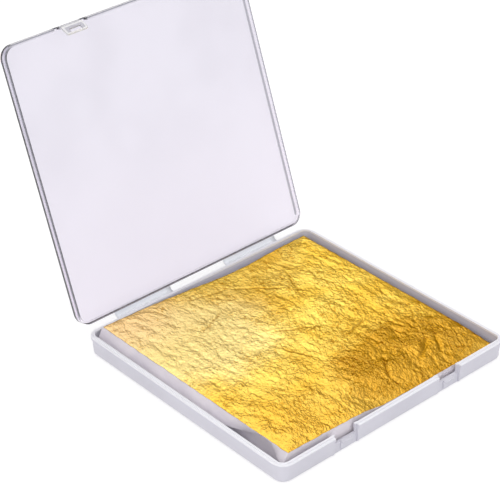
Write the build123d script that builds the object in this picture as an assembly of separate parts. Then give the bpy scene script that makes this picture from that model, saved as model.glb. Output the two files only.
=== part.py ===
"""Hinged plastic case with a loose stack of imitation gold leaf, millimetres.

The case is one polypropylene moulding that bends at thin films: a shallow tray, a lid on two
film hinges along the back, and two small latch flaps on the lid's front rim. The stack in it
is square leaves of brass foil, each on its own sheet of tissue. The stack is fanned: its left
side stands higher than its right side.

+Z is up, -Y is the front with the latches, X runs along the hinge. The origin is the centre
of the tray's bottom face. The lid stands open at rest.
"""

from build123d import *
import math
import os

os.makedirs("parts", exist_ok=True)

# stack, in pairs of one leaf on one tissue
leaf_pairs = 100
single_pairs = 10
bundles = 9
leaf_side = 139.7
leaf_thickness = 0.01
tissue_margin = 0.05
tissue_thickness = 0.04
sheet_gap = 0.015
top_leaf_gap = 0.05
spread_left = 0.064
spread_right = 0.022
upper_pairs = 30
lower_setback_x = 0.6
lower_setback_y = 0.25

# how far the sheets stray, and how fast that changes, in radians from sheet to sheet
stray = 0.12
stray_turn = 0.05
stray_rate_x = 2.4
stray_rate_y = 1.7
stray_rate_turn = 0.9

# room round the stack in the shut case
room_left = 5.9
room_right = 3.5
room_front = 2.55
room_back = 1.85
floor_gap = 0.3
rim_above_stack = 0.8
head_room = 0.2

# tray and lid have the same outline
corner_radius = 7.0

# tray, outside
tray_foot_radius = 2.0
draft_inset = 0.6
flange_overhang = 0.5
flange_height = 1.8
flange_edge_radius = 0.25

# tray, inside
floor_thickness = 1.2
cavity_corner_radius = 3.6
cavity_draft = 0.3
cavity_foot_radius = 0.5
lip_height = 0.6
lip_width = 1.0
lip_play = 0.2
lip_edge_radius = 0.25

# lid
lid_wall = 1.2
lid_plate = 1.2
lid_edge_radius = 0.9
lid_foot_radius = 0.6
closing_gap = 0.1
lid_open_angle = 109.24

# film hinges between tray and lid
hinge_offset = 2.0
web_length = 37.0
web_side_room = 21.5
web_thickness = 0.35
web_drop = 0.25
web_end_gap = 0.12

# latch flaps on the lid
latch_side_room = 41.9
flap_width = 12.7
flap_length = 5.9
flap_thickness = 0.8
flap_film_gap = 0.1
flap_face_inset = 0.05
flap_root_gap = 0.1
flap_rest_angle = 52.0
flap_corner_radius = 0.6
flap_border = 1.0
flap_border_rise = 0.25
window_width = 7.0
window_height = 2.4
end_bar = 0.8
slot_width = 3.6
slot_gap = 0.25

# latch recesses, notches and catches on the tray
recess_side_play = 1.25
recess_back_play = 0.9
recess_wall = 1.2
notch_side_play = 0.45
catch_side_play = 0.55
catch_inset = 0.1
catch_height = 0.6
catch_lip = 0.25
catch_play = 0.1
pad_reach = 0.5
pad_foot = 1.6

overrun = 5.0

pair_thickness = tissue_thickness + sheet_gap + leaf_thickness
pitch_left = pair_thickness + spread_left
pitch_right = pair_thickness + spread_right
tissue_side = leaf_side + 2 * tissue_margin
stack_bottom = floor_thickness + floor_gap
stack_place_x = (room_left - room_right) / 2
stack_place_y = (room_front - room_back) / 2

rim_width = lid_wall + lip_play + lip_width
case_width = tissue_side + room_left + room_right + 2 * rim_width
case_depth = tissue_side + room_front + room_back + 2 * rim_width
half_depth = case_depth / 2
tray_height = stack_bottom + leaf_pairs * pitch_right + rim_above_stack
lid_rim_z = tray_height + closing_gap
lid_height = stack_bottom + leaf_pairs * pitch_left + head_room + lid_plate - lid_rim_z

hinge_y = half_depth + hinge_offset
hinge_z = tray_height + closing_gap / 2
web_place = case_width / 2 - web_side_room - web_length / 2
latch_place = case_width / 2 - latch_side_room

flap_axis_y = -half_depth + flap_face_inset + flap_thickness / 2
flap_axis_z = lid_rim_z - flap_film_gap - flap_thickness / 2
recess_depth = flap_face_inset + flap_thickness + flap_border_rise + recess_back_play
recess_y = -half_depth + recess_depth
recess_inner_y = recess_y + recess_wall
recess_width = flap_width + 2 * recess_side_play
notch_width = flap_width + 2 * notch_side_play
catch_width = window_width - 2 * catch_side_play
catch_reach = recess_depth - catch_inset
catch_ledge = flap_axis_z - flap_length + end_bar + catch_play
catch_top = catch_ledge + catch_height


def plate(width, depth, radius, low, high):
    """A straight rounded block between two heights."""
    return extrude(Pos(0, 0, low) * RectangleRounded(width, depth, radius), amount=high - low)


def drafted(width, depth, radius, inset, low, high):
    """A rounded block whose sides come in by an inset at its low end."""
    foot = Pos(0, 0, low) * RectangleRounded(width - 2 * inset, depth - 2 * inset, radius - inset)
    top = Pos(0, 0, high) * RectangleRounded(width, depth, radius)
    return loft([foot, top])


def block(x0, x1, y0, y1, z0, z1):
    """A box between two corners."""
    return Pos((x0 + x1) / 2, (y0 + y1) / 2, (z0 + z1) / 2) * Box(x1 - x0, y1 - y0, z1 - z0)


def edges_at(solid, height):
    """The edges that lie flat at one height."""
    return solid.edges().filter_by_position(Axis.Z, height, height)


def tray_shell():
    """The drafted tray with its flange, hollow and locating lip."""
    body = drafted(
        case_width - 2 * flange_overhang,
        case_depth - 2 * flange_overhang,
        corner_radius - flange_overhang,
        draft_inset,
        0,
        tray_height - flange_height,
    )
    body = fillet(edges_at(body, 0), tray_foot_radius)
    flange = plate(case_width, case_depth, corner_radius, tray_height - flange_height, tray_height)
    flange = fillet(edges_at(flange, tray_height), flange_edge_radius)
    flange = fillet(edges_at(flange, tray_height - flange_height), flange_edge_radius)
    lip_inset = lid_wall + lip_play
    lip = plate(
        case_width - 2 * lip_inset,
        case_depth - 2 * lip_inset,
        corner_radius - lip_inset,
        tray_height - flange_height,
        tray_height + lip_height,
    )
    lip = fillet(edges_at(lip, tray_height + lip_height), lip_edge_radius)
    cavity = drafted(
        case_width - 2 * rim_width,
        case_depth - 2 * rim_width,
        cavity_corner_radius,
        cavity_draft,
        floor_thickness,
        tray_height + lip_height,
    )
    cavity = fillet(edges_at(cavity, floor_thickness), cavity_foot_radius)
    mouth = plate(
        case_width - 2 * rim_width,
        case_depth - 2 * rim_width,
        cavity_corner_radius,
        tray_height + lip_height,
        tray_height + lip_height + overrun,
    )
    return body + flange + lip - cavity - mouth


def catch(x):
    """A catch wedge on its low pad, standing out of a recess wall."""
    wedge = Plane.YZ * make_face(
        Polyline(
            (recess_y, catch_top),
            (recess_y - catch_reach, catch_ledge + catch_lip),
            (recess_y - catch_reach, catch_ledge),
            (recess_y - pad_reach, catch_ledge),
            (recess_y - pad_reach, pad_foot),
            (recess_y, pad_foot - pad_reach),
            close=True,
        )
    )
    return Pos(x - catch_width / 2, 0, 0) * extrude(wedge, amount=catch_width)


def tray():
    """The tray with a latch recess, notch and catch on each side of the front."""
    shell = tray_shell()
    for side in (-1, 1):
        x = side * latch_place
        half = recess_width / 2
        backing = block(
            x - half - recess_wall,
            x + half + recess_wall,
            -half_depth + rim_width / 2,
            recess_inner_y,
            floor_thickness / 2,
            tray_height,
        )
        pocket = block(x - half, x + half, -half_depth - overrun, recess_y, -overrun, tray_height + overrun)
        notch = block(
            x - notch_width / 2,
            x + notch_width / 2,
            -half_depth - overrun,
            recess_inner_y + overrun,
            catch_top,
            tray_height + overrun,
        )
        inside = block(
            x - half - rim_width,
            x + half + rim_width,
            recess_inner_y,
            0,
            floor_thickness,
            tray_height + overrun,
        )
        shell = shell + (backing - inside) - pocket - notch
        shell = shell + catch(x)
    return shell


def lid_closed():
    """The lid as it lies when shut, with a slot on both sides of each flap."""
    shell = plate(case_width, case_depth, corner_radius, lid_rim_z, lid_rim_z + lid_height)
    shell = fillet(edges_at(shell, lid_rim_z + lid_height), lid_edge_radius)
    hollow_top = lid_rim_z + lid_height - lid_plate
    hollow = plate(
        case_width - 2 * lid_wall,
        case_depth - 2 * lid_wall,
        corner_radius - lid_wall,
        lid_rim_z - overrun,
        hollow_top,
    )
    hollow = fillet(edges_at(hollow, hollow_top), lid_foot_radius)
    shell = shell - hollow
    for side in (-1, 1):
        for edge in (-1, 1):
            near = side * latch_place + edge * (flap_width / 2 + slot_gap)
            far = near + edge * slot_width
            shell = shell - block(
                min(near, far),
                max(near, far),
                -half_depth - overrun,
                -half_depth + lid_wall + lid_foot_radius,
                lid_rim_z - overrun,
                hollow_top,
            )
    return shell


def flap_hanging(x):
    """A latch flap as it hangs when it is latched, with its window for the catch."""
    root = flap_axis_z - flap_root_gap
    tip = flap_axis_z - flap_length
    middle = (root + tip) / 2
    outline = RectangleRounded(flap_width, root - tip, flap_corner_radius)
    inner_outline = RectangleRounded(
        flap_width - 2 * flap_border, root - tip - 2 * flap_border, flap_corner_radius / 2
    )
    face = Plane.XZ.offset(-flap_axis_y) * Pos(x, middle)
    panel = extrude(face * outline, amount=flap_thickness / 2, both=True)
    back = Plane.XZ.offset(-flap_axis_y - flap_thickness / 2) * Pos(x, middle)
    border = extrude(back * (outline - inner_outline), amount=-flap_border_rise)
    window_low = tip + end_bar
    window = block(
        x - window_width / 2,
        x + window_width / 2,
        flap_axis_y - overrun,
        flap_axis_y + overrun,
        window_low,
        window_low + window_height,
    )
    knuckle = Pos(x, flap_axis_y, flap_axis_z) * Rot(0, 90, 0) * Cylinder(flap_thickness / 2, flap_width)
    neck = block(
        x - flap_width / 2,
        x + flap_width / 2,
        flap_axis_y - flap_thickness / 2,
        flap_axis_y + flap_thickness / 2,
        root - flap_corner_radius,
        flap_axis_z,
    )
    return panel + border + neck + knuckle - window


def web_half(x, low, high):
    """One half of a film hinge, from the case wall to just short of the fold."""
    return block(x - web_length / 2, x + web_length / 2, half_depth, hinge_y - web_end_gap, low, high)


def opened(solid):
    """Turns a piece of the shut lid to its open place at rest."""
    fold = Axis((0, hinge_y, hinge_z), (1, 0, 0))
    return solid.rotate(fold, -lid_open_angle)


def folded_in(solid):
    """Turns a latched flap inwards to its relaxed angle."""
    fold = Axis((0, flap_axis_y, flap_axis_z), (1, 0, 0))
    return solid.rotate(fold, 90 - flap_rest_angle)


def sheet(index, side, thickness, lift):
    """One flat sheet of the fanned stack, counted from the bottom."""
    left = stack_bottom + index * pitch_left
    right = stack_bottom + index * pitch_right
    tilt = math.atan2(left - right, leaf_side)
    is_lower = index < leaf_pairs - upper_pairs
    x = stray * math.sin(stray_rate_x * index) + (lower_setback_x if is_lower else 0)
    y = stray * math.cos(stray_rate_y * index) + (lower_setback_y if is_lower else 0)
    turn = stray_turn * math.sin(stray_rate_turn * index)
    ground = Plane(
        origin=(stack_place_x, stack_place_y, (left + right) / 2),
        x_dir=(math.cos(tilt), 0, -math.sin(tilt)),
        z_dir=(math.sin(tilt), 0, math.cos(tilt)),
    )
    outline = Pos(x, y, lift) * Rot(0, 0, turn) * Rectangle(side, side)
    return extrude(ground * outline, amount=thickness)


def tissue(index):
    """The tissue of one pair."""
    return sheet(index, tissue_side, tissue_thickness, 0)


def leaf(index):
    """The gold leaf of one pair, on its tissue."""
    gap = top_leaf_gap if index == leaf_pairs - 1 else sheet_gap
    return sheet(index, leaf_side, leaf_thickness, tissue_thickness + gap)


def save(node, solids):
    """Writes one node's solids."""
    solids = solids if isinstance(solids, list) else [solids]
    export_step(solids[0] if len(solids) == 1 else Compound(children=solids), f"parts/{node}.step")


save("tray", tray())
save("lid", opened(lid_closed()))

for side, name in ((-1, "left"), (1, "right")):
    x = side * web_place
    save(
        f"tray_hinge_web_{name}",
        web_half(x, hinge_z - web_drop - web_thickness, hinge_z - web_drop),
    )
    save(
        f"lid_hinge_web_{name}",
        opened(web_half(x, hinge_z + web_drop, hinge_z + web_drop + web_thickness)),
    )
    save(f"latch_flap_{name}", opened(folded_in(flap_hanging(side * latch_place))))

for count in range(single_pairs):
    index = leaf_pairs - 1 - count
    save(f"gold_leaf_{count + 1:02d}", leaf(index))
    save(f"tissue_{count + 1:02d}", tissue(index))

for bundle in range(bundles):
    first = single_pairs + round(bundle * (leaf_pairs - single_pairs) / bundles)
    last = single_pairs + round((bundle + 1) * (leaf_pairs - single_pairs) / bundles)
    save(f"gold_leaves_bundle_{bundle + 1}", [leaf(leaf_pairs - 1 - n) for n in range(first, last)])
    save(f"tissues_bundle_{bundle + 1}", [tissue(leaf_pairs - 1 - n) for n in range(first, last)])
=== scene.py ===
"""Looks of a hinged plastic case that holds a loose stack of imitation gold leaf on tissue.

Lengths are written in millimetres and turned to metres by MM. The tray, the lid and the latch
flaps keep their solid model's shape. The sheets and the hinge films are built here.
"""

import math

import bpy
import numpy as np
from mathutils import Matrix, Vector


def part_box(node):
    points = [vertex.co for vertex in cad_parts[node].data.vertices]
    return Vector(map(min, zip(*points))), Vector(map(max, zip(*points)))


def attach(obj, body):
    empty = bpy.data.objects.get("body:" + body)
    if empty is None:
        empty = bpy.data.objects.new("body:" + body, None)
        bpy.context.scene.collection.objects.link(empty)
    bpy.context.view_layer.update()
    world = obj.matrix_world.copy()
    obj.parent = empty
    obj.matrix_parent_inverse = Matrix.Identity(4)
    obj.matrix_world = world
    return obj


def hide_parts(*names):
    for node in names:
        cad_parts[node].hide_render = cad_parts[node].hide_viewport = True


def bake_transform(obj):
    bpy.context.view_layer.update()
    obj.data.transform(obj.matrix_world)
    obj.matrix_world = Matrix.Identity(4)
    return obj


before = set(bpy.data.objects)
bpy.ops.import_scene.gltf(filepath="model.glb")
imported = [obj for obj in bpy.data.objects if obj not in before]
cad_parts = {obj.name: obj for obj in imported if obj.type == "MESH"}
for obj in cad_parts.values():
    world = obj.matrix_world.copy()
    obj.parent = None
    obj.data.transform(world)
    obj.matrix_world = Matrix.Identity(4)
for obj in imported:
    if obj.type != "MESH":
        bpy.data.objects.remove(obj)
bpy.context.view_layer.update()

MM = 0.001

# camera, as the photograph was taken
CAMERA_AZIMUTH = -40.88
CAMERA_ELEVATION = 32.22
CAMERA_ROLL = -1.22
CAMERA_DISTANCE = 987.57
CAMERA_TARGET = (37.34, 76.74, 11.3)
CAMERA_LENS = 130.24
CAMERA_SENSOR = 36.0

# light: an even sky that dims towards the horizon, between two heights on a sphere of radius one
SKY_COLOUR = "#FFFEFF"
SKY_TOP_LEVEL = 1.1
SKY_HORIZON_LEVEL = 0.4
SKY_RANGE = (0.35, 0.95)
# and three soft boxes: name, place, aim, side, power in watts, colour
SOFTBOXES = (
    ("back_softbox", (830, 1400, 1500), (0, 0, 0), 1300, 5.0, "#FFFFFF"),
    ("left_softbox", (-1600, -200, 700), (0, 0, 30), 1600, 8.5, "#FFFCFB"),
    ("front_softbox", (-200, -1700, 600), (0, 0, 0), 1700, 9.0, "#FFFEFE"),
)
FLOOR_COLOUR = "#F6F6F8"
FLOOR_SIDE = 20000.0
FLOOR_DROP = 0.05
# how much of the floor's look is its own even white, and how much is lit
FLOOR_EVEN = 0.62
FLOOR_LIT = 0.5

# polypropylene: sizes of its clouding, scuffs and skin, how much longer than wide the scuffs
# are, and how deep the skin is
POLYPROPYLENE_IOR = 1.49
PLASTIC_CLOUD_SIZE = 45.0
SCUFF_SIZE = 1.6
SCUFF_STRETCH = 12.5
SKIN_SIZE = 2.2
SKIN_DEPTH = 0.03
# parts of a noise's range that are spread over a whole change of tone or gloss
CLOUD_RANGE = (0.35, 0.7)
SCUFF_RANGE = (0.3, 0.75)

# tissue: tones, dullness, sizes of its clouding and fibres, and how deep the fibres stand
TISSUE_LIGHT = "#EFEAEF"
TISSUE_DEEP = "#E6E1E8"
TISSUE_ROUGHNESS = 0.85
TISSUE_CLOUD_SIZE = 18.0
FIBRE_SIZE = 0.7
FIBRE_DEPTH = 0.04

# brass foil: tones, some of them painted light and painted shade, and how much of each place's tone it
# takes
BRASS_LIGHT = "#FFDC6A"
BRASS_DEEP = "#F6C850"
BRASS_PAINTED_SHEEN = "#FFEA9A"
BRASS_FOLD_SHADE = "#BF8A2B"
BRASS_FRONT_SHADE = "#E5B043"
BRASS_PEACH = "#FBD9A0"
BRASS_RIM = "#FFD98C"
TARNISH_AND_SHADE = "#B9831A"
FINE_TARNISH_AND_SHADE = "#CF962C"
BRASS_ROUGHNESS = 0.22
PAINTED_SHEEN_SHARE = 0.9
FOLD_SHADE_SHARE = 0.8
FRONT_SHADE_SHARE = 0.7
PEACH_SHARE = 0.8
TARNISH_AND_SHADE_SHARE = 0.55
FINE_TARNISH_AND_SHADE_SHARE = 0.75
# where the front's painted shade and the back left corner's peach set in and are full
FRONT_SHADE_Y = (10.0, -66.0)
PEACH_Y = (10.0, 72.0)
PEACH_X = (10.0, -68.0)
# sizes of its clouding, crushed parts, specks, facets and grain, and the facets' and grain's depth
BRASS_CLOUD_SIZE = 30.0
BRASS_CLOUD_RANGE = (0.35, 0.68)
CRUSHED_SIZE = 13.0
CRUSHED_RANGE = (0.38, 0.62)
CRUSHED_LEAST = 0.3
SPECK_SIZE = 1.5
SPECK_RANGE = (0.5, 0.34)
FACET_SIZE = 2.1
FACET_DEPTH = 0.24
FACET_WAVER_SIZE = 5.0
FACET_WAVER = 2.0
GRAIN_SIZE = 0.9
GRAIN_DEPTH = 0.15
# the bold folds are crushed more, and the pale half less
BOLD_CRUSH = 0.7
PALE_CRUSH = -0.5

# lid, as the solid model turns it open
LID_OPEN_ANGLE = 109.24
FOLD_Y = 76.5
FOLD_Z = 11.05
LID_DEPTH = 4.7
LID_HALF_X = 77.0
LID_HALF_Y = 74.5
LID_CORNER_RADIUS = 7.0
# its dark edges, painted shade where light bends away: how far they reach in and fade, and down from
# the plate and up from the rim
EDGE_REACH = 0.9
EDGE_EASE = 0.3
TOP_EDGE = (2.4, 1.8)
RIM_EDGE = (0.5, 0.1)
# heights between which the open lid's plate changes from its lighter tone low down, which is painted
# light, to its deeper tone
LID_PAINTED_LIGHT_FADE = (10.0, 130.0)
# height at which the tray's white rim, a painted highlight, starts
RIM_Z = 10.5

# latch flap: its axis at rest, and the raised border round its thinner middle, which is painted white
# as a highlight
FLAP_PLACE = (35.1, 125.685, 153.34)
FLAP_FOLD = 71.24
FLAP_MIDDLE_Z = -3.0
FLAP_INNER_HALF = (5.35, 1.95)
RING_EASE = 0.15

# stack of sheets, counted from the top
SHEET_COUNT = 100
SINGLE_COUNT = 10
BUNDLE_COUNT = 9
BUNDLE_SIZE = 10
LEAF_SIDE = 139.7
# leaves under the top one are drawn this much smaller, so that they stay hidden between tissues
LEAF_INSET = 2.4
TISSUE_SIDE = 139.8
TISSUE_THICKNESS = 0.04
LEAF_THICKNESS = 0.012
LEAF_LIFT = 0.014
TOP_TISSUE_LIFT = -0.12
TISSUE_CRINKLE = 0.25
# the upper sheets lean out to the left, and the lower ones are set to the right
UPPER_COUNT = 42
LEAN = 3.4
LOWER_SETBACK = 1.6
# how far a sheet strays from the one above, and how fast that changes down the stack
STRAY = 0.05
STRAY_RATE = (2.4, 1.7)
EDGE_WAVE = 0.16
EDGE_WAVE_LENGTH = 17.0
EDGE_WAVE_STEP = 0.7
# unevenness of the top sheets' cut edges, and how fast it and the crinkle die out there
LEAF_RAGGEDNESS = 0.5
TISSUE_RAGGEDNESS = 0.3
RAGGED_LENGTH = 5.0
RAGGED_POWER = 12
FLAT_RIM_POWER = 26
# a pressed edge swells, so a sheet fills this share of the room it has
SWELL_SHARE = 0.86
# near the front left corner the lower sheets bow inwards, clear of the wall
BOW_START_Y = -26.0
BOW_MIDDLE_Y = -50.0
BOW_END_Y = -69.5
BOW_DEPTH = 8.0
LOWER_BOW_DEPTH = 3.2
BOW_INNER_SHARE = 0.7

# the sheets' back edge dips inwards in its middle, and the front edge reaches the rim on the
# right, but for the room that the right latch flap sweeps
BACK_DIP_X = 16.0
BACK_DIP_REACH = 36.0
BACK_DIP_Y = (20.0, 70.0)
BACK_DIP_DEPTH = 2.4
BACK_DIP_DROP = 1.0
FRONT_REACH = 0.9
FRONT_REACH_START_X = -22.0
FRONT_REACH_FULL_X = -6.0
FRONT_REACH_START_Y = -60.0
FRONT_EDGE_Y = -69.5
FRONT_DROP = 1.5
FRONT_DROP_START_Y = -46.0
FLAP_ROOM_X = (26.5, 43.5)
FLAP_ROOM_EASE = 2.5

# gradient noise reaches about this far above and below zero; its seeds, and the gap between
# two rows of it that are used as separate edges
NOISE_REACH = 0.7
BEDDING_SEED = 5
WARP_SEEDS = (21, 22)
WOBBLE_SEED = 31
EDGE_SEED = 41
EDGE_ROW_GAP = 7.3

# bedding: the long soft waves that every sheet lies in
BEDDING_DEPTH = 0.238
BEDDING_LENGTH = 34.0
BEDDING_LOWERING = 0.62

# grids, in quads along one side
LEAF_GRID = 360
TISSUE_GRID = 96
EDGE_STEPS = 30
# rings of points of a sheet in the stack, from its edge inwards
RINGS = (1.0, 0.96, 0.9)
# the hidden middle of a sheet in the stack lies this much lower, clear of the waves above it
MIDDLE_SAG = 0.5
# and the stack settles this far under its top pair
SETTLING = 0.1

# creases of the top leaf: size of a facet, height, how many times longer than wide,
# direction in degrees, seed
CREASES = (
    (17.0, 0.62, 2.0, 78.0, 11),
    (7.5, 0.62, 2.8, 98.0, 12),
    (4.2, 0.30, 2.0, 62.0, 13),
    (2.3, 0.22, 1.7, 88.0, 14),
    (1.35, 0.17, 1.6, 60.0, 15),
)
# only creases finer than this are dark in colour too, with tarnish and painted shade
TARNISH_AND_SHADE_LIMIT = 4.0
# width of the dark line in such a crease, and the depth that is full tarnish and painted shade
CREASE_WIDTH = 0.13
TARNISH_AND_SHADE_DEPTH = 0.42
WARP_LENGTH = 24.0
WARP_REACH = 4.0

# patch of bold folds near the front right corner: centre, half sizes, gain
BOLD_PLACE = (33.0, -49.0)
BOLD_REACH = (52.0, 29.0)
BOLD_GAIN = 2.4
BOLD_FADE = (0.45, 1.1)
BOLD_TONE_FADE = (1.1, 0.6)
# the shut lid has pressed the highest folds down to this
PRESSED_HEIGHT = 1.2

# paler half of the leaf, with painted light: centre and half sizes
PALE_PLACE = (-44.0, 30.0)
PALE_REACH = (60.0, 50.0)
PALE_FADE = (1.2, 0.3)
# the way the fine folds run, in degrees from X, and how much longer than wide they are
FLOW_ANGLE = 68.0
FLOW_STRETCH = 1.8
# how unevenly such patches end, and over what length
PATCH_WAVER = 26.0
PATCH_WAVER_SIZE = 14.0

# long single creases: from, to, depth, half width
LONG_CREASES = (
    ((14.0, -18.0), (41.0, -12.0), 0.34, 0.9),
    ((-12.0, 12.0), (16.0, -2.0), 0.24, 0.8),
    ((-6.0, -22.0), (-14.0, -2.0), 0.30, 0.8),
    ((26.0, 22.0), (40.0, 52.0), 0.26, 1.1),
    ((-40.0, 30.0), (-8.0, 44.0), 0.24, 1.0),
    ((30.0, -58.0), (52.0, -44.0), 0.42, 1.5),
    ((44.0, -62.0), (60.0, -36.0), 0.40, 1.3),
    ((8.0, -60.0), (22.0, -40.0), 0.36, 1.2),
    ((-30.0, 62.0), (10.0, 56.0), 0.22, 1.0),
    ((0.0, 60.0), (30.0, 34.0), 0.24, 1.0),
)

# a single crease wobbles, fades at its ends, flattens what it crosses and has a ridge beside it
CREASE_WOBBLE = 1.2
CREASE_WOBBLE_LENGTH = 6.0
CREASE_END_SHARE = 0.3
CREASE_FLATTENING = 0.85
CREASE_TARNISH_AND_SHADE = 1.3
RIDGE_AWAY = 1.6
RIDGE_SHARE = 0.6

# how much of its brightness a surface keeps where it is a little deeper in tone
DEEPER_SHARE = 0.975

# hinge films
FILM_HALF_LENGTH = 18.5
FILM_PLACE = 37.0
FILM_THICKNESS = 0.35
FILM_WAIST = 0.16
WAIST_REACH = 0.16
FILM_STEPS = 14
FILM_LENGTH_STEPS = 10
CASE_BACK_Y = 74.5
FILM_TRAY_Z = 10.625
FILM_LID_SHUT_Z = 11.475
FILM_END_GAP = 0.12


def linear(hex_colour):
    """An sRGB hex colour as linear red, green, blue and an alpha of one."""
    parts = [int(hex_colour[i:i + 2], 16) / 255 for i in (1, 3, 5)]
    return [v / 12.92 if v <= 0.04045 else ((v + 0.055) / 1.055) ** 2.4 for v in parts] + [1.0]


def add(tree, kind, inputs=None, **settings):
    """Adds a shader node; inputs gives each socket a value or another node's output."""
    node = tree.nodes.new("ShaderNode" + kind)
    for name, value in settings.items():
        setattr(node, name, value)
    for socket, value in (inputs or {}).items():
        if isinstance(value, bpy.types.NodeSocket):
            tree.links.new(value, node.inputs[socket])
        else:
            node.inputs[socket].default_value = value
    return node


def start_material(name):
    """A new material with its tree, its surface shader and its place coordinates."""
    made = bpy.data.materials.new(name)
    made.use_nodes = True
    tree = made.node_tree
    shader = tree.nodes["Principled BSDF"]
    place = add(tree, "TexCoord").outputs["Object"]
    return made, tree, shader, place


def deeper(hex_colour):
    """A slightly deeper tone of the same colour."""
    parts = [int(hex_colour[i:i + 2], 16) for i in (1, 3, 5)]
    return "#" + "".join(f"{round(part * DEEPER_SHARE):02X}" for part in parts)


def per(size):
    """A texture scale that makes one feature of a pattern this many millimetres long."""
    return 1 / (size * MM)


def mix(tree, share, first, second):
    """Mixes two colours, each an output or a linear colour."""
    node = add(tree, "Mix", {0: share, 6: first, 7: second}, data_type="RGBA")
    return node.outputs[2]


def ramp(tree, value, low, high, to_low=0.0, to_high=1.0):
    """Maps a value from one range to another, held at its ends."""
    inputs = {"Value": value, 1: low, 2: high, 3: to_low, 4: to_high}
    return add(tree, "MapRange", inputs, interpolation_type="SMOOTHSTEP").outputs[0]


def lid_painted_dark_edge(tree, place):
    """Painted shade: one along the lid's outer corner and its rim, where light bends away, and none
    elsewhere.
    """
    pivot = add(
        tree, "VectorMath", {0: place, 1: (0, FOLD_Y * MM, FOLD_Z * MM)}, operation="SUBTRACT"
    )
    shut = add(
        tree, "Mapping",
        {"Vector": pivot.outputs[0], "Rotation": (math.radians(LID_OPEN_ANGLE), 0, 0),
         "Location": (0, FOLD_Y * MM, 0)},
    )
    corner = (LID_HALF_X - LID_CORNER_RADIUS, LID_HALF_Y - LID_CORNER_RADIUS)
    # both sides and the latch side, not the hinge side
    right = add(tree, "VectorMath", {0: shut.outputs[0], 1: (1, -1, 1)}, operation="MULTIPLY")
    left = add(tree, "VectorMath", {0: shut.outputs[0], 1: (-1, -1, 1)}, operation="MULTIPLY")
    level = add(
        tree, "VectorMath", {0: right.outputs[0], 1: left.outputs[0]}, operation="MAXIMUM"
    )
    past = add(
        tree, "VectorMath", {0: level.outputs[0], 1: (corner[0] * MM, corner[1] * MM, 1)},
        operation="SUBTRACT",
    )
    past = add(tree, "VectorMath", {0: past.outputs[0], 1: (0, 0, 0)}, operation="MAXIMUM")
    round_out = add(tree, "VectorMath", {0: past.outputs[0]}, operation="LENGTH").outputs["Value"]
    start = LID_CORNER_RADIUS - EDGE_REACH
    outward = ramp(tree, round_out, start * MM, (start + EDGE_EASE) * MM)
    height = add(tree, "SeparateXYZ", {"Vector": shut.outputs[0]}).outputs["Z"]
    top = ramp(tree, height, *((LID_DEPTH - down) * MM for down in TOP_EDGE))
    rim = ramp(tree, height, *(up * MM for up in RIM_EDGE))
    either = add(tree, "Math", {0: top, 1: rim}, operation="MAXIMUM").outputs[0]
    return add(tree, "Math", {0: outward, 1: either}, operation="MULTIPLY").outputs[0]


def tray_painted_bright_rim(tree, place):
    """Painted highlight: one on the tray's rim, and none on its walls and floor."""
    height = add(tree, "SeparateXYZ", {"Vector": place}).outputs["Z"]
    return ramp(tree, height, RIM_Z * MM, (RIM_Z + EDGE_EASE) * MM)


def flap_painted_bright_ring(tree, place):
    """Painted highlight: one on a latch flap's raised border, and none on its middle."""
    axis = tuple(part * MM for part in FLAP_PLACE)
    mirrored = add(tree, "VectorMath", {0: place}, operation="ABSOLUTE").outputs[0]
    pivot = add(tree, "VectorMath", {0: mirrored, 1: axis}, operation="SUBTRACT")
    hanging = add(
        tree, "Mapping",
        {"Vector": pivot.outputs[0], "Rotation": (math.radians(FLAP_FOLD), 0, 0),
         "Location": (0, 0, -FLAP_MIDDLE_Z * MM)},
    )
    level = add(tree, "VectorMath", {0: hanging.outputs[0]}, operation="ABSOLUTE")
    parts = add(tree, "SeparateXYZ", {"Vector": level.outputs[0]})
    half_x, half_z = FLAP_INNER_HALF
    sides = ramp(tree, parts.outputs["X"], (half_x - RING_EASE) * MM, (half_x + RING_EASE) * MM)
    ends = ramp(tree, parts.outputs["Z"], (half_z - RING_EASE) * MM, (half_z + RING_EASE) * MM)
    return add(tree, "Math", {0: sides, 1: ends}, operation="MAXIMUM").outputs[0]


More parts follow.
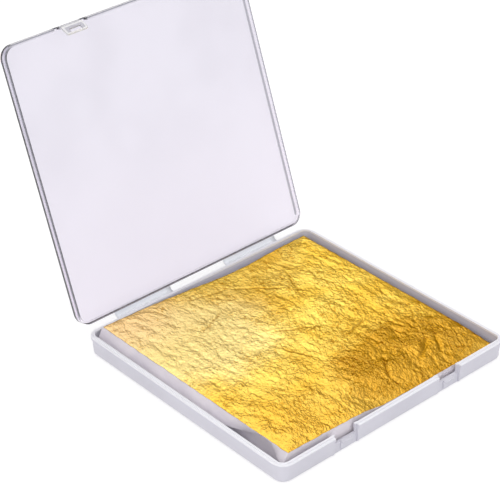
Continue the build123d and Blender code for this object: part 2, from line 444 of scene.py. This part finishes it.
def polypropylene(name, colour, clear, dull_low, dull_high, edge=None, painted_edge_tone=None, painted_light_low_tone=None):
    """Natural polypropylene, injection moulded: clear to milky, faintly lavender, soft gloss.

    Its edges gather dark and bright lines as light bends in them; an edge mask and its tone paint these
    into its colour, as painted shade or painted highlight, and low down on the open lid the plate is
    painted lighter. The share clear of the light passes through, and the scuffs vary its dullness from
    dull_low to dull_high.
    """
    made, tree, shader, place = start_material(name)
    cloud = add(tree, "TexNoise", {"Vector": place, "Scale": per(PLASTIC_CLOUD_SIZE), "Detail": 2.0})
    tint = ramp(tree, cloud.outputs["Fac"], *CLOUD_RANGE)
    body = mix(tree, tint, linear(colour), linear(deeper(colour)))
    # painted light: the open lid's plate is lighter low down, near the hinge
    if painted_light_low_tone:
        height = add(tree, "SeparateXYZ", {"Vector": place}).outputs["Z"]
        fade = ramp(tree, height, *(z * MM for z in LID_PAINTED_LIGHT_FADE))
        body = mix(tree, fade, linear(painted_light_low_tone), body)
    # painted shade or painted highlight along the edges, as the mask gives
    if edge:
        body = mix(tree, edge(tree, place), body, linear(painted_edge_tone))
    tree.links.new(body, shader.inputs["Base Color"])
    # hairline scuffs from handling: drawn coarser than the real ones, so that they show
    drawn_out = add(tree, "Mapping", {"Vector": place, "Scale": (1, 1 / SCUFF_STRETCH, 1)}).outputs[0]
    scuff = add(tree, "TexNoise", {"Vector": drawn_out, "Scale": per(SCUFF_SIZE), "Detail": 3.0})
    dull = ramp(tree, scuff.outputs["Fac"], *SCUFF_RANGE, dull_low, dull_high)
    tree.links.new(dull, shader.inputs["Roughness"])
    skin = add(tree, "TexNoise", {"Vector": place, "Scale": per(SKIN_SIZE), "Detail": 2.0})
    bump = add(
        tree, "Bump", {"Strength": 0.1, "Distance": SKIN_DEPTH * MM, "Height": skin.outputs["Fac"]}
    )
    tree.links.new(bump.outputs[0], shader.inputs["Normal"])
    shader.inputs["IOR"].default_value = POLYPROPYLENE_IOR
    shader.inputs["Transmission Weight"].default_value = clear
    return made


def patch(tree, place, centre, reach):
    """How far a point lies from the centre of a round patch, with one at the patch's border."""
    waver = add(tree, "TexNoise", {"Vector": place, "Scale": per(PATCH_WAVER_SIZE), "Detail": 4.0})
    inputs = {0: waver.outputs["Color"], 1: (PATCH_WAVER * MM,) * 3, 2: place}
    shift = add(tree, "VectorMath", inputs, operation="MULTIPLY_ADD")
    half = PATCH_WAVER / 2
    inputs = {0: shift.outputs[0], 1: ((centre[0] + half) * MM, (centre[1] + half) * MM, 0)}
    away = add(tree, "VectorMath", inputs, operation="SUBTRACT")
    inputs = {0: away.outputs[0], 1: (1 / (reach[0] * MM), 1 / (reach[1] * MM), 0)}
    share = add(tree, "VectorMath", inputs, operation="MULTIPLY")
    return add(tree, "VectorMath", {0: share.outputs[0]}, operation="LENGTH").outputs["Value"]


def foil_tone(tree, place, pale, bold):
    """The foil's colour: clouded brass, more peach at one corner, with painted light that makes it
    paler in places and painted shade that makes it deeper in others.
    """
    cloud = add(
        tree, "TexNoise",
        {"Vector": place, "Scale": per(BRASS_CLOUD_SIZE), "Detail": 4.0, "Distortion": 0.6},
    )
    tint = ramp(tree, cloud.outputs["Fac"], *BRASS_CLOUD_RANGE)
    tone = mix(tree, tint, linear(BRASS_LIGHT), linear(BRASS_DEEP))
    # painted light: the left half is brighter and paler; painted shade: the bold folds on the right
    # shade one another
    tone = mix(tree, ramp(tree, pale, 0.0, 1.0, 0.0, PAINTED_SHEEN_SHARE), tone, linear(BRASS_PAINTED_SHEEN))
    tone = mix(tree, ramp(tree, bold, 0.0, 1.0, 0.0, FOLD_SHADE_SHARE), tone, linear(BRASS_FOLD_SHADE))
    # painted shade: deeper towards the front
    parts = add(tree, "SeparateXYZ", {"Vector": place})
    front = ramp(tree, parts.outputs["Y"], *(y * MM for y in FRONT_SHADE_Y), 0.0, FRONT_SHADE_SHARE)
    tone = mix(tree, front, tone, linear(BRASS_FRONT_SHADE))
    # peach bloom, where the alloy is redder at one corner
    back = ramp(tree, parts.outputs["Y"], *(y * MM for y in PEACH_Y))
    left = ramp(tree, parts.outputs["X"], *(x * MM for x in PEACH_X))
    corner = add(tree, "Math", {0: back, 1: left}, operation="MULTIPLY").outputs[0]
    return mix(tree, ramp(tree, corner, 0.1, 1.0, 0.0, PEACH_SHARE), tone, linear(BRASS_PEACH))


def brass_foil(name):
    """Imitation gold leaf: brass beaten to foil. Its facets mirror the room; its folds go amber with
    tarnish and painted shade.
    """
    made, tree, shader, place = start_material(name)
    pale = ramp(tree, patch(tree, place, PALE_PLACE, PALE_REACH), *PALE_FADE)
    bold = ramp(tree, patch(tree, place, BOLD_PLACE, BOLD_REACH), *BOLD_TONE_FADE)
    tone = foil_tone(tree, place, pale, bold)
    # some parts of the leaf lie smooth, others are finely crushed, along the way the folds run
    flow = add(
        tree, "Mapping",
        {"Vector": place, "Rotation": (0, 0, math.radians(FLOW_ANGLE)), "Scale": (FLOW_STRETCH, 1, 1)},
        vector_type="TEXTURE",
    ).outputs[0]
    crushed = add(tree, "TexNoise", {"Vector": place, "Scale": per(CRUSHED_SIZE), "Detail": 3.0})
    crushed = ramp(tree, crushed.outputs["Fac"], *CRUSHED_RANGE, CRUSHED_LEAST, 1.0)
    gain = add(tree, "Math", {0: bold, 1: BOLD_CRUSH, 2: 1.0}, operation="MULTIPLY_ADD").outputs[0]
    gain = add(tree, "Math", {0: pale, 1: PALE_CRUSH, 2: gain}, operation="MULTIPLY_ADD").outputs[0]
    crushed = add(tree, "Math", {0: crushed, 1: gain}, operation="MULTIPLY").outputs[0]
    # creases are worn thin and tarnished to brown, the finest ones too, and painted shade darkens them
    # as well
    speck = add(
        tree, "TexNoise",
        {"Vector": flow, "Scale": per(SPECK_SIZE), "Detail": 3.0, "Roughness": 0.6},
    )
    speck = ramp(tree, speck.outputs["Fac"], *SPECK_RANGE)
    speck = add(tree, "Math", {0: speck, 1: crushed}, operation="MULTIPLY").outputs[0]
    speck = ramp(tree, speck, 0.0, 1.0, 0.0, FINE_TARNISH_AND_SHADE_SHARE)
    tone = mix(tree, speck, tone, linear(FINE_TARNISH_AND_SHADE))
    crease = add(tree, "Attribute", attribute_name="crease").outputs["Fac"]
    tone = mix(tree, ramp(tree, crease, 0.25, 1.0, 0.0, TARNISH_AND_SHADE_SHARE), tone, linear(TARNISH_AND_SHADE))
    tree.links.new(tone, shader.inputs["Base Color"])
    # beaten crinkle, finer than the mesh carries: small facets with a softer grain on them
    waver = add(tree, "TexNoise", {"Vector": flow, "Scale": per(FACET_WAVER_SIZE), "Detail": 2.0})
    inputs = {0: waver.outputs["Color"], 1: (FACET_WAVER * MM,) * 3, 2: flow}
    bent = add(tree, "VectorMath", inputs, operation="MULTIPLY_ADD").outputs[0]
    facets = add(
        tree, "TexVoronoi",
        {"Vector": bent, "Scale": per(FACET_SIZE), "Detail": 2.0, "Roughness": 0.7},
    )
    facets = add(tree, "Math", {0: facets.outputs["Distance"], 1: crushed}, operation="MULTIPLY")
    grain = add(
        tree, "TexNoise",
        {"Vector": flow, "Scale": per(GRAIN_SIZE), "Detail": 3.0, "Roughness": 0.6},
    )
    beaten = add(
        tree, "Bump", {"Strength": 1.0, "Distance": FACET_DEPTH * MM, "Height": facets.outputs[0]}
    )
    bump = add(
        tree, "Bump",
        {"Strength": 0.8, "Distance": GRAIN_DEPTH * MM, "Height": grain.outputs["Fac"],
         "Normal": beaten.outputs[0]},
    )
    tree.links.new(bump.outputs[0], shader.inputs["Normal"])
    shader.inputs["Specular Tint"].default_value = linear(BRASS_RIM)
    shader.inputs["Metallic"].default_value = 1.0
    shader.inputs["Roughness"].default_value = BRASS_ROUGHNESS
    return made


def tissue_paper(name):
    """Interleaving tissue: bleached and uncoated, so that it is a soft, dull white."""
    made, tree, shader, place = start_material(name)
    cloud = add(tree, "TexNoise", {"Vector": place, "Scale": per(TISSUE_CLOUD_SIZE), "Detail": 3.0})
    tint = ramp(tree, cloud.outputs["Fac"], *CLOUD_RANGE)
    tone = mix(tree, tint, linear(TISSUE_LIGHT), linear(TISSUE_DEEP))
    tree.links.new(tone, shader.inputs["Base Color"])
    fibre = add(tree, "TexNoise", {"Vector": place, "Scale": per(FIBRE_SIZE), "Detail": 4.0})
    bump = add(
        tree, "Bump", {"Strength": 0.3, "Distance": FIBRE_DEPTH * MM, "Height": fibre.outputs["Fac"]}
    )
    tree.links.new(bump.outputs[0], shader.inputs["Normal"])
    shader.inputs["Roughness"].default_value = TISSUE_ROUGHNESS
    return made


def gradient_noise(x, y, seed):
    """Smooth noise from about -0.7 to 0.7, with one feature to a unit."""
    size = 256
    angle = np.random.default_rng(seed).uniform(0, 2 * math.pi, (size, size))
    slope_x, slope_y = np.cos(angle), np.sin(angle)
    cell_x, cell_y = np.floor(x).astype(int), np.floor(y).astype(int)
    part_x, part_y = x - cell_x, y - cell_y

    def corner(i, j):
        row, column = (cell_x + i) % size, (cell_y + j) % size
        return slope_x[row, column] * (part_x - i) + slope_y[row, column] * (part_y - j)

    ease_x = part_x ** 3 * (part_x * (part_x * 6 - 15) + 10)
    ease_y = part_y ** 3 * (part_y * (part_y * 6 - 15) + 10)
    near = corner(0, 0) * (1 - ease_x) + corner(1, 0) * ease_x
    far = corner(0, 1) * (1 - ease_x) + corner(1, 1) * ease_x
    return near * (1 - ease_y) + far * ease_y


def smooth(value, low, high):
    """Rises from 0 at low to 1 at high."""
    t = np.clip((value - low) / (high - low), 0, 1)
    return t * t * (3 - 2 * t)


def bedding(x, y):
    """The long waves that the sheets lie in, in millimetres, at about zero or below."""
    wave = gradient_noise(x / BEDDING_LENGTH, y / BEDDING_LENGTH, BEDDING_SEED)
    return BEDDING_DEPTH * (wave - NOISE_REACH)


def creases(x, y):
    """Height of the top leaf's creases, and how deep in a crease each point is from 0 to 1."""
    warp_x, warp_y = (
        WARP_REACH * gradient_noise(x / WARP_LENGTH, y / WARP_LENGTH, seed) for seed in WARP_SEEDS
    )
    away = np.hypot((x - BOLD_PLACE[0]) / BOLD_REACH[0], (y - BOLD_PLACE[1]) / BOLD_REACH[1])
    bold = 1 - smooth(away, *BOLD_FADE)
    height = np.zeros_like(x)
    depth = np.zeros_like(x)
    for size, rise, stretch, angle, seed in CREASES:
        turn = math.radians(angle)
        along = (x + warp_x) * math.cos(turn) + (y + warp_y) * math.sin(turn)
        across = (y + warp_y) * math.cos(turn) - (x + warp_x) * math.sin(turn)
        billow = np.abs(gradient_noise(across / size, along / (size * stretch), seed))
        height += rise * (1 + BOLD_GAIN * bold) * billow
        if size < TARNISH_AND_SHADE_LIMIT:
            depth += (1 - smooth(billow, 0.0, CREASE_WIDTH)) * rise * (1 + bold)
    wobble_place = (x / CREASE_WOBBLE_LENGTH, y / CREASE_WOBBLE_LENGTH)
    wobble = CREASE_WOBBLE * gradient_noise(*wobble_place, WOBBLE_SEED)
    for (x0, y0), (x1, y1), sink, half_width in LONG_CREASES:
        length = math.hypot(x1 - x0, y1 - y0)
        unit_x, unit_y = (x1 - x0) / length, (y1 - y0) / length
        along = (x - x0) * unit_x + (y - y0) * unit_y
        across = (y - y0) * unit_x - (x - x0) * unit_y + wobble
        end = length * CREASE_END_SHARE
        ends = smooth(along, 0, end) * (1 - smooth(along, length - end, length))
        fold = ends * np.exp(-np.abs(across) / half_width)
        ridge = ends * np.exp(-(across / half_width - RIDGE_AWAY) ** 2)
        height = height * (1 - CREASE_FLATTENING * fold) + RIDGE_SHARE * sink * ridge
        depth += fold * sink * CREASE_TARNISH_AND_SHADE
    height = PRESSED_HEIGHT * (1 - np.exp(-height / PRESSED_HEIGHT))
    return height, np.clip(depth / TARNISH_AND_SHADE_DEPTH, 0, 1)


def mesh_object(name, points, faces, finish, is_smooth=True):
    """A mesh object from points in millimetres."""
    mesh = bpy.data.meshes.new(name)
    mesh.from_pydata((np.asarray(points) * MM).tolist(), [], faces)
    mesh.polygons.foreach_set("use_smooth", [is_smooth] * len(mesh.polygons))
    mesh.materials.append(finish)
    made = bpy.data.objects.new(name, mesh)
    bpy.context.scene.collection.objects.link(made)
    return made


def closed_grid(count, top, thickness):
    """Points and faces of a thin closed sheet over a square grid of points."""
    under = top - np.array([0, 0, thickness])
    points = np.vstack([top, under])
    number = np.arange((count + 1) ** 2).reshape(count + 1, count + 1)
    a, b = number[:-1, :-1].ravel(), number[1:, :-1].ravel()
    c, d = number[1:, 1:].ravel(), number[:-1, 1:].ravel()
    below = (count + 1) ** 2
    faces = np.column_stack([a, b, c, d]).tolist()
    faces += (np.column_stack([d, c, b, a]) + below).tolist()
    ring = np.concatenate([number[:-1, 0], number[-1, :-1], number[:0:-1, -1], number[0, :0:-1]])
    onward = np.roll(ring, -1)
    faces += np.column_stack([ring, ring + below, onward + below, onward]).tolist()
    return points, faces


def drift(x, y, share):
    """How far a sheet's points stray from its plain square, sideways and down.

    The share is the sheet's height in the stack, from 0 at the bottom to 1 at the top.
    """
    back = smooth(y, *BACK_DIP_Y) * np.exp(-((x - BACK_DIP_X) / BACK_DIP_REACH) ** 2)
    right = smooth(x, FRONT_REACH_START_X, FRONT_REACH_FULL_X)
    low_x, high_x = FLAP_ROOM_X
    past_low = smooth(x, low_x - FLAP_ROOM_EASE, low_x)
    past_high = smooth(x, high_x, high_x + FLAP_ROOM_EASE)
    flap_room = past_low * (1 - past_high)
    reach = smooth(-y, -FRONT_REACH_START_Y, -FRONT_EDGE_Y) * right * (1 - flap_room)
    away_y = -(BACK_DIP_DEPTH * back + FRONT_REACH * reach) * share
    front = smooth(-y, -FRONT_DROP_START_Y, -FRONT_EDGE_Y)
    down = BACK_DIP_DROP * back + FRONT_DROP * right * front
    return away_y, down * share


def ragged(places, row, reach, length):
    """A small uneven offset along an edge; each row of the noise gives another one."""
    rows = np.full_like(places, row * EDGE_ROW_GAP)
    return reach * gradient_noise(places / length, rows, EDGE_SEED)


def full_sheet(name, side, count, node, lift, thickness, finish, crinkle, raggedness):
    """A full square sheet, with its crinkle and its uneven cut edge."""
    low, high = (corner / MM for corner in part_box(node))
    middle_x, middle_y = (low.x + high.x) / 2, (low.y + high.y) / 2
    span = np.linspace(-1, 1, count + 1)
    u, v = (grid.ravel() for grid in np.meshgrid(span, span, indexing="ij"))
    x = middle_x + u * side / 2
    y = middle_y + v * side / 2
    x = x + ragged(y, 1, raggedness, RAGGED_LENGTH) * np.abs(u) ** RAGGED_POWER
    y = y + ragged(x, 2, raggedness, RAGGED_LENGTH) * np.abs(v) ** RAGGED_POWER
    away_y, down = drift(x, y, 1.0)
    y = y + away_y
    fall = (low.z - high.z) * (x - low.x) / (high.x - low.x)
    z = high.z + fall + lift + bedding(x, y) - BEDDING_LOWERING - down
    height, depth = creases(x, y)
    # a sheet lies down at its edges
    rim = 1 - np.maximum(np.abs(u), np.abs(v)) ** FLAT_RIM_POWER
    z = z + crinkle * height * rim
    points, faces = closed_grid(count, np.column_stack([x, y, z]), thickness)
    made = mesh_object(name, points, faces, finish)
    layer = made.data.attributes.new("crease", "FLOAT", "POINT")
    layer.data.foreach_set("value", np.tile(depth, 2).astype(np.float32))
    return made


def sheet_place(number):
    """How far a sheet is set back, its share of the lean, and how deep it bows."""
    if number <= UPPER_COUNT:
        lean = number / UPPER_COUNT
        return 0.0, lean, BOW_DEPTH * lean
    below = (number - UPPER_COUNT) / (SHEET_COUNT - UPPER_COUNT)
    return LOWER_SETBACK, 0.0, LOWER_BOW_DEPTH * (1 - below)


def edge_sheet(number, side, thickness, lift, swell):
    """Points and faces of one sheet of the stack, fine along its edges and plain inside."""
    top_low, top_high = (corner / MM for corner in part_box("tissue_01"))
    floor_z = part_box(f"tissues_bundle_{BUNDLE_COUNT}")[0].z / MM
    share = (SHEET_COUNT - number) / (SHEET_COUNT - 1)
    setback, lean, bow_depth = sheet_place(number)
    along = np.linspace(-1, 1, EDGE_STEPS, endpoint=False)
    ones = np.ones_like(along)
    ring_u = np.concatenate([along, ones, -along, -ones])
    ring_v = np.concatenate([-ones, along, ones, -along])
    u = np.concatenate([ring_u * ring for ring in RINGS])
    v = np.concatenate([ring_v * ring for ring in RINGS])
    middle_x, middle_y = (top_low.x + top_high.x) / 2, (top_low.y + top_high.y) / 2
    x = middle_x + u * side / 2
    y = middle_y + v * side / 2
    shift = number * EDGE_WAVE_STEP
    x = x + ragged(y + shift, 3, EDGE_WAVE, EDGE_WAVE_LENGTH) + STRAY * math.sin(STRAY_RATE[0] * number)
    y = y + ragged(x + shift, 4, EDGE_WAVE, EDGE_WAVE_LENGTH) + STRAY * math.cos(STRAY_RATE[1] * number)
    rise = np.interp(y, (BOW_END_Y, BOW_MIDDLE_Y, BOW_START_Y), (0, 1, 0))
    bow = smooth(rise, 0, 1) * smooth(-u, BOW_INNER_SHARE, 1)
    x = x - LEAN * lean + setback + bow_depth * bow
    away_y, down = drift(x, y, share)
    y = y + away_y
    slope = (x - top_low.x) / (top_high.x - top_low.x)
    top_z = top_high.z + (top_low.z - top_high.z) * slope - TISSUE_THICKNESS
    z = floor_z + (top_z - floor_z) * share + lift
    z = z + share * (bedding(x, y) - BEDDING_LOWERING) - down
    sag = np.repeat([0, 0, MIDDLE_SAG], len(ring_u))
    z = z - share * (sag + SETTLING)
    room = (top_z - floor_z) / (SHEET_COUNT - 1)
    under = np.column_stack([x, y, z - np.maximum(thickness, room * swell)])
    top = np.column_stack([x, y, z])
    points = np.vstack([top, under])
    size = len(ring_u)
    below = size * len(RINGS)
    faces = []
    for ring in range(len(RINGS) - 1):
        start = ring * size
        a = start + np.arange(size)
        b = start + np.roll(np.arange(size), -1)
        faces += np.column_stack([a, b, b + size, a + size]).tolist()
        faces += (np.column_stack([a + size, b + size, b, a]) + below).tolist()
    inner = (len(RINGS) - 1) * size + np.arange(size)
    faces.append(inner.tolist())
    faces.append((inner[::-1] + below).tolist())
    a, b = np.arange(size), np.roll(np.arange(size), -1)
    faces += np.column_stack([a, a + below, b + below, b]).tolist()
    return points, faces


def stack_piece(name, numbers, side, thickness, lift, swell, node, finish):
    """Several sheets of the stack as one piece that stands for one node."""
    points, faces = [], []
    start = 0
    for number in numbers:
        more, more_faces = edge_sheet(number, side, thickness, lift, swell)
        points.append(more)
        faces += [[corner + start for corner in face] for face in more_faces]
        start += len(more)
    made = mesh_object(name, np.vstack(points), faces, finish, is_smooth=False)
    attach(made, "leaf_stack")
    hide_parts(node)


def turned_open(y, z):
    """Where a point of the shut lid lies when the lid stands open."""
    turn = math.radians(-LID_OPEN_ANGLE)
    away_y, away_z = y - FOLD_Y, z - FOLD_Z
    return (
        FOLD_Y + away_y * math.cos(turn) - away_z * math.sin(turn),
        FOLD_Z + away_y * math.sin(turn) + away_z * math.cos(turn),
    )


def hinge_film(name, place_x, nodes, finish):
    """One hinge film: a strip that thins at its waist and bends round the fold."""
    tray_end = Vector((0, CASE_BACK_Y, FILM_TRAY_Z))
    tray_fold = Vector((0, FOLD_Y - FILM_END_GAP, FILM_TRAY_Z))
    lid_fold = Vector((0, *turned_open(FOLD_Y - FILM_END_GAP, FILM_LID_SHUT_Z)))
    lid_end = Vector((0, *turned_open(CASE_BACK_Y, FILM_LID_SHUT_Z)))
    line = []
    for step in range(FILM_STEPS + 1):
        t = step / FILM_STEPS
        weights = ((1 - t) ** 3, 3 * t * (1 - t) ** 2, 3 * t * t * (1 - t), t ** 3)
        ends = (tray_end, tray_fold, lid_fold, lid_end)
        line.append(sum((w * p for w, p in zip(weights, ends)), Vector()))
    outline = []
    for sign in (1, -1):
        side = []
        for step, point in enumerate(line):
            before, after = line[max(step - 1, 0)], line[min(step + 1, FILM_STEPS)]
            direction = (after - before).normalized()
            across = Vector((0, -direction.z, direction.y))
            t = step / FILM_STEPS
            waist = math.exp(-((t - 0.5) / WAIST_REACH) ** 2)
            half = (FILM_THICKNESS + (FILM_WAIST - FILM_THICKNESS) * waist) / 2
            side.append(point + across * half * sign)
        outline += side if sign == 1 else side[::-1]
    points, faces = [], []
    count = len(outline)
    for step in range(FILM_LENGTH_STEPS + 1):
        x = place_x - FILM_HALF_LENGTH + 2 * FILM_HALF_LENGTH * step / FILM_LENGTH_STEPS
        points += [(x, p.y, p.z) for p in outline]
    for step in range(FILM_LENGTH_STEPS):
        for i in range(count):
            j = (i + 1) % count
            a, b = step * count, (step + 1) * count
            faces.append([a + i, a + j, b + j, b + i])
    faces.append(list(range(count))[::-1])
    faces.append([FILM_LENGTH_STEPS * count + i for i in range(count)])
    made = mesh_object(name, points, faces, finish)
    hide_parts(*nodes)
    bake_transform(made)


def dress(node, finish):
    """Gives a node of the solid model its finish."""
    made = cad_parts[node]
    made.data.materials.clear()
    made.data.materials.append(finish)


def make_light(name, place, aim, size, power, colour):
    """A large soft area lamp."""
    lamp = bpy.data.lights.new(name, "AREA")
    lamp.shape = "SQUARE"
    lamp.size = size * MM
    lamp.energy = power
    lamp.color = linear(colour)[:3]
    made = bpy.data.objects.new(name, lamp)
    made.location = Vector(place) * MM
    made.rotation_mode = "QUATERNION"
    made.rotation_quaternion = (Vector(aim) - Vector(place)).to_track_quat("-Z", "Y")
    bpy.context.scene.collection.objects.link(made)


def make_floor():
    """A plain pale floor. It looks white to the eye and in gloss, and keeps the shadow."""
    half = FLOOR_SIDE / 2
    corners = [(-half, -half), (half, -half), (half, half), (-half, half)]
    made = bpy.data.materials.new("floor_paper")
    made.use_nodes = True
    tree = made.node_tree
    tree.nodes.clear()
    lit = add(tree, "BsdfDiffuse", {"Color": linear(FLOOR_COLOUR)})
    even = add(tree, "Emission", {"Color": (1, 1, 1, 1), "Strength": FLOOR_EVEN})
    shaded = add(tree, "BsdfDiffuse", {"Color": (FLOOR_LIT, FLOOR_LIT, FLOOR_LIT, 1)})
    seen = add(tree, "AddShader", {0: even.outputs[0], 1: shaded.outputs[0]})
    path = add(tree, "LightPath")
    direct = path.outputs["Is Camera Ray"]
    for ray in ("Is Glossy Ray", "Is Transmission Ray"):
        direct = add(tree, "Math", {0: direct, 1: path.outputs[ray]}, operation="MAXIMUM").outputs[0]
    both = add(tree, "MixShader", {0: direct, 1: lit.outputs[0], 2: seen.outputs[0]})
    add(tree, "OutputMaterial", {"Surface": both.outputs[0]})
    floor = mesh_object(
        "floor", [(x, y, -FLOOR_DROP) for x, y in corners], [[0, 1, 2, 3]], made, is_smooth=False
    )


def make_camera():
    """The camera at the photograph's angle."""
    azimuth, elevation = math.radians(CAMERA_AZIMUTH), math.radians(CAMERA_ELEVATION)
    roll = math.radians(CAMERA_ROLL)
    back = Vector((
        math.sin(azimuth) * math.cos(elevation),
        -math.cos(azimuth) * math.cos(elevation),
        math.sin(elevation),
    ))
    level = Vector((math.cos(azimuth), math.sin(azimuth), 0))
    upright = back.cross(level)
    right = level * math.cos(roll) + upright * math.sin(roll)
    up = upright * math.cos(roll) - level * math.sin(roll)
    data = bpy.data.cameras.new("camera")
    data.lens = CAMERA_LENS
    data.sensor_width = CAMERA_SENSOR
    made = bpy.data.objects.new("camera", data)
    turn = Matrix((right, up, back)).transposed().to_4x4()
    spot = (Vector(CAMERA_TARGET) + back * CAMERA_DISTANCE) * MM
    made.matrix_world = Matrix.Translation(spot) @ turn
    bpy.context.scene.collection.objects.link(made)
    bpy.context.scene.camera = made


def make_world():
    """Soft light from the whole sky, brightest overhead, as under a large diffuser."""
    world = bpy.data.worlds.new("studio")
    world.use_nodes = True
    tree = world.node_tree
    direction = add(tree, "TexCoord").outputs["Generated"]
    height = add(tree, "SeparateXYZ", {"Vector": direction}).outputs["Z"]
    level = ramp(tree, height, *SKY_RANGE, SKY_HORIZON_LEVEL, SKY_TOP_LEVEL)
    background = tree.nodes["Background"]
    background.inputs["Color"].default_value = linear(SKY_COLOUR)
    tree.links.new(level, background.inputs["Strength"])
    bpy.context.scene.world = world


def make_stack(foil, tissue):
    """The top leaf, the tissue under it, and the rest of the stack."""
    top = full_sheet(
        "top_gold_leaf", LEAF_SIDE, LEAF_GRID, "gold_leaf_01", 0.0, LEAF_THICKNESS, foil,
        1.0, LEAF_RAGGEDNESS,
    )
    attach(top, "top_leaf")
    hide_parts("gold_leaf_01")
    first = full_sheet(
        "top_tissue", TISSUE_SIDE, TISSUE_GRID, "tissue_01", TOP_TISSUE_LIFT, TISSUE_THICKNESS, tissue,
        TISSUE_CRINKLE, TISSUE_RAGGEDNESS,
    )
    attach(first, "leaf_stack")
    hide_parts("tissue_01")
    for number in range(2, SINGLE_COUNT + 1):
        make_pair(f"gold_leaf_{number:02d}", f"tissue_{number:02d}", [number], foil, tissue)
    for bundle in range(1, BUNDLE_COUNT + 1):
        start = SINGLE_COUNT + (bundle - 1) * BUNDLE_SIZE + 1
        sheets = range(start, start + BUNDLE_SIZE)
        make_pair(f"gold_leaves_bundle_{bundle}", f"tissues_bundle_{bundle}", sheets, foil, tissue)


def make_pair(leaf_node, tissue_node, numbers, foil, tissue):
    """The leaves and the tissues of one or more pairs. A leaf is hidden between two tissues."""
    leaf_side = LEAF_SIDE - LEAF_INSET
    stack_piece(
        "foil_" + leaf_node, numbers, leaf_side, LEAF_THICKNESS, LEAF_LIFT, 0, leaf_node, foil
    )
    stack_piece(
        "sheet_" + tissue_node, numbers, TISSUE_SIDE, TISSUE_THICKNESS, 0, SWELL_SHARE,
        tissue_node, tissue,
    )


# one plastic throughout: thick and milky in the tray, thin and clear in the lid, and matt
# where it is worked thin, in the films and flaps
# the tray's white rim is a painted highlight
tray_plastic = polypropylene(
    "milky_polypropylene", "#DEDDE6", clear=0.12, dull_low=0.3, dull_high=0.45,
    edge=tray_painted_bright_rim, painted_edge_tone="#FAFAFF",
)
# the lid's dark edges are painted shade, and its plate low down is painted light
lid_plastic = polypropylene(
    "clear_polypropylene", "#EBE8F2", clear=0.96, dull_low=0.06, dull_high=0.14,
    edge=lid_painted_dark_edge, painted_edge_tone="#85858E", painted_light_low_tone="#F3EEF8",
)
film_plastic = polypropylene(
    "film_polypropylene", "#F6F9FF", clear=0.25, dull_low=0.3, dull_high=0.4
)
# the flaps' white raised border is a painted highlight
flap_plastic = polypropylene(
    "flap_polypropylene", "#D3D2DA", clear=0.4, dull_low=0.2, dull_high=0.3,
    edge=flap_painted_bright_ring, painted_edge_tone="#FFFFFF",
)
foil = brass_foil("brass_foil")
tissue = tissue_paper("tissue_paper")

dress("tray", tray_plastic)
dress("lid", lid_plastic)
dress("latch_flap_left", flap_plastic)
dress("latch_flap_right", flap_plastic)
for side, sign in (("left", -1), ("right", 1)):
    halves = (f"tray_hinge_web_{side}", f"lid_hinge_web_{side}")
    hinge_film(f"hinge_film_{side}", sign * FILM_PLACE, halves, film_plastic)
make_stack(foil, tissue)

make_world()
make_floor()
for softbox in SOFTBOXES:
    make_light(*softbox)
make_camera()
bpy.context.scene.view_settings.view_transform = "Standard"
